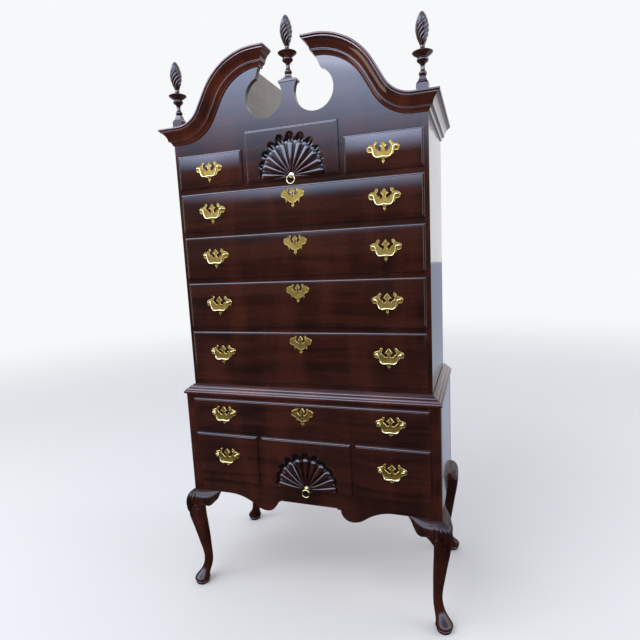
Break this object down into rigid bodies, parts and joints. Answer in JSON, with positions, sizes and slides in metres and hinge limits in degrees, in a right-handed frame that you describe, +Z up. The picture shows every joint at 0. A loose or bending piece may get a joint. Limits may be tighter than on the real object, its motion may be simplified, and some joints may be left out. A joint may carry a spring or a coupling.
{
  "type": "highboy chest on stand",
  "caption": "Bonnet-top highboy: lipped drawers with brass bails in two stacked cases, scrolled pediment with flame finials, carved shells, cabriole legs.",
  "frame": {"origin": "on the floor, under the middle of the case", "axes": "+X to the object's right seen from the front, -Y towards the front where the drawers open, +Z up"},
  "size_m": [1.029, 0.544, 2.097],
  "materials": {
    "case_wood": "polished reddish-brown mahogany-like hardwood",
    "front_wood": "polished figured hardwood drawer fronts",
    "rail_wood": "polished hardwood rails, plain runners behind",
    "carved_wood": "polished carved hardwood",
    "lining_wood": "plain unpolished secondary softwood",
    "brass": "polished brass with a light patina"
  },
  "bodies": {
    "case": {"cabriole_legs": "carved_wood", "knee_blocks": "carved_wood", "scalloped_apron": "case_wood", "lower_carcase": "case_wood", "waist_moulding": "case_wood", "upper_sides_and_back": "case_wood", "upper_rails_and_runners": "rail_wood", "scroll_board": "case_wood", "bonnet": "lining_wood", "swan_neck_cornice": "case_wood", "flame_finials": "carved_wood"},
    "upper_fifth": {"upper_fifth_front": "front_wood", "upper_fifth_box": "lining_wood", "upper_fifth_brass": "brass"},
    "upper_fifth_left_bail": {"upper_fifth_left_bail": "brass"},
    "upper_fifth_right_bail": {"upper_fifth_right_bail": "brass"},
    "upper_fourth": {"upper_fourth_front": "front_wood", "upper_fourth_box": "lining_wood", "upper_fourth_brass": "brass"},
    "upper_fourth_left_bail": {"upper_fourth_left_bail": "brass"},
    "upper_fourth_right_bail": {"upper_fourth_right_bail": "brass"},
    "upper_third": {"upper_third_front": "front_wood", "upper_third_box": "lining_wood", "upper_third_brass": "brass"},
    "upper_third_left_bail": {"upper_third_left_bail": "brass"},
    "upper_third_right_bail": {"upper_third_right_bail": "brass"},
    "upper_second": {"upper_second_front": "front_wood", "upper_second_box": "lining_wood", "upper_second_brass": "brass"},
    "upper_second_left_bail": {"upper_second_left_bail": "brass"},
    "upper_second_right_bail": {"upper_second_right_bail": "brass"},
    "top_left": {"top_left_front": "front_wood", "top_left_box": "lining_wood", "top_left_brass": "brass"},
    "top_left_bail": {"top_left_bail": "brass"},
    "top_right": {"top_right_front": "front_wood", "top_right_box": "lining_wood", "top_right_brass": "brass"},
    "top_right_bail": {"top_right_bail": "brass"},
    "top_shell": {"top_shell_front": "front_wood", "top_shell_box": "lining_wood", "top_shell_brass": "brass"},
    "top_shell_ring": {"top_shell_ring": "brass"},
    "lower_long": {"lower_long_front": "front_wood", "lower_long_box": "lining_wood", "lower_long_brass": "brass"},
    "lower_long_left_bail": {"lower_long_left_bail": "brass"},
    "lower_long_right_bail": {"lower_long_right_bail": "brass"},
    "lower_left": {"lower_left_front": "front_wood", "lower_left_box": "lining_wood", "lower_left_brass": "brass"},
    "lower_left_bail": {"lower_left_bail": "brass"},
    "lower_right": {"lower_right_front": "front_wood", "lower_right_box": "lining_wood", "lower_right_brass": "brass"},
    "lower_right_bail": {"lower_right_bail": "brass"},
    "lower_shell": {"lower_shell_front": "front_wood", "lower_shell_box": "lining_wood", "lower_shell_brass": "brass"},
    "lower_shell_ring": {"lower_shell_ring": "brass"}
  },
  "joints": [
    {"name": "upper_fifth_slide", "type": "slide", "parent": "case", "child": "upper_fifth", "axis": [0, -1, 0], "range_m": [0, 0.33]},
    {"name": "upper_fifth_left_bail_swing", "type": "hinge", "parent": "upper_fifth", "child": "upper_fifth_left_bail", "pos_m": [-0.314, -0.2349, 0.97325], "axis": [-1, 0, 0], "range_deg": [-8, 110]},
    {"name": "upper_fifth_right_bail_swing", "type": "hinge", "parent": "upper_fifth", "child": "upper_fifth_right_bail", "pos_m": [0.314, -0.2349, 0.97325], "axis": [-1, 0, 0], "range_deg": [-8, 110]},
    {"name": "upper_fourth_slide", "type": "slide", "parent": "case", "child": "upper_fourth", "axis": [0, -1, 0], "range_m": [0, 0.33]},
    {"name": "upper_fourth_left_bail_swing", "type": "hinge", "parent": "upper_fourth", "child": "upper_fourth_left_bail", "pos_m": [-0.314, -0.2349, 1.158], "axis": [-1, 0, 0], "range_deg": [-8, 110]},
    {"name": "upper_fourth_right_bail_swing", "type": "hinge", "parent": "upper_fourth", "child": "upper_fourth_right_bail", "pos_m": [0.314, -0.2349, 1.158], "axis": [-1, 0, 0], "range_deg": [-8, 110]},
    {"name": "upper_third_slide", "type": "slide", "parent": "case", "child": "upper_third", "axis": [0, -1, 0], "range_m": [0, 0.33]},
    {"name": "upper_third_left_bail_swing", "type": "hinge", "parent": "upper_third", "child": "upper_third_left_bail", "pos_m": [-0.314, -0.2349, 1.33225], "axis": [-1, 0, 0], "range_deg": [-8, 110]},
    {"name": "upper_third_right_bail_swing", "type": "hinge", "parent": "upper_third", "child": "upper_third_right_bail", "pos_m": [0.314, -0.2349, 1.33225], "axis": [-1, 0, 0], "range_deg": [-8, 110]},
    {"name": "upper_second_slide", "type": "slide", "parent": "case", "child": "upper_second", "axis": [0, -1, 0], "range_m": [0, 0.33]},
    {"name": "upper_second_left_bail_swing", "type": "hinge", "parent": "upper_second", "child": "upper_second_left_bail", "pos_m": [-0.314, -0.2349, 1.494], "axis": [-1, 0, 0], "range_deg": [-8, 110]},
    {"name": "upper_second_right_bail_swing", "type": "hinge", "parent": "upper_second", "child": "upper_second_right_bail", "pos_m": [0.314, -0.2349, 1.494], "axis": [-1, 0, 0], "range_deg": [-8, 110]},
    {"name": "top_left_slide", "type": "slide", "parent": "case", "child": "top_left", "axis": [0, -1, 0], "range_m": [0, 0.33]},
    {"name": "top_left_bail_swing", "type": "hinge", "parent": "top_left", "child": "top_left_bail", "pos_m": [-0.314, -0.2349, 1.64025], "axis": [-1, 0, 0], "range_deg": [-8, 110]},
    {"name": "top_right_slide", "type": "slide", "parent": "case", "child": "top_right", "axis": [0, -1, 0], "range_m": [0, 0.33]},
    {"name": "top_right_bail_swing", "type": "hinge", "parent": "top_right", "child": "top_right_bail", "pos_m": [0.314, -0.2349, 1.64025], "axis": [-1, 0, 0], "range_deg": [-8, 110]},
    {"name": "top_shell_slide", "type": "slide", "parent": "case", "child": "top_shell", "axis": [0, -1, 0], "range_m": [0, 0.33]},
    {"name": "top_shell_ring_swing", "type": "hinge", "parent": "top_shell", "child": "top_shell_ring", "pos_m": [0, -0.2349, 1.5845], "axis": [-1, 0, 0], "range_deg": [-8, 170]},
    {"name": "lower_long_slide", "type": "slide", "parent": "case", "child": "lower_long", "axis": [0, -1, 0], "range_m": [0, 0.33]},
    {"name": "lower_long_left_bail_swing", "type": "hinge", "parent": "lower_long", "child": "lower_long_left_bail", "pos_m": [-0.318, -0.2579, 0.741], "axis": [-1, 0, 0], "range_deg": [-8, 110]},
    {"name": "lower_long_right_bail_swing", "type": "hinge", "parent": "lower_long", "child": "lower_long_right_bail", "pos_m": [0.318, -0.2579, 0.741], "axis": [-1, 0, 0], "range_deg": [-8, 110]},
    {"name": "lower_left_slide", "type": "slide", "parent": "case", "child": "lower_left", "axis": [0, -1, 0], "range_m": [0, 0.33]},
    {"name": "lower_left_bail_swing", "type": "hinge", "parent": "lower_left", "child": "lower_left_bail", "pos_m": [-0.318, -0.2579, 0.573], "axis": [-1, 0, 0], "range_deg": [-8, 110]},
    {"name": "lower_right_slide", "type": "slide", "parent": "case", "child": "lower_right", "axis": [0, -1, 0], "range_m": [0, 0.33]},
    {"name": "lower_right_bail_swing", "type": "hinge", "parent": "lower_right", "child": "lower_right_bail", "pos_m": [0.318, -0.2579, 0.573], "axis": [-1, 0, 0], "range_deg": [-8, 110]},
    {"name": "lower_shell_slide", "type": "slide", "parent": "case", "child": "lower_shell", "axis": [0, -1, 0], "range_m": [0, 0.33]},
    {"name": "lower_shell_ring_swing", "type": "hinge", "parent": "lower_shell", "child": "lower_shell_ring", "pos_m": [0, -0.2579, 0.4675], "axis": [-1, 0, 0], "range_deg": [-8, 170]}
  ]
}
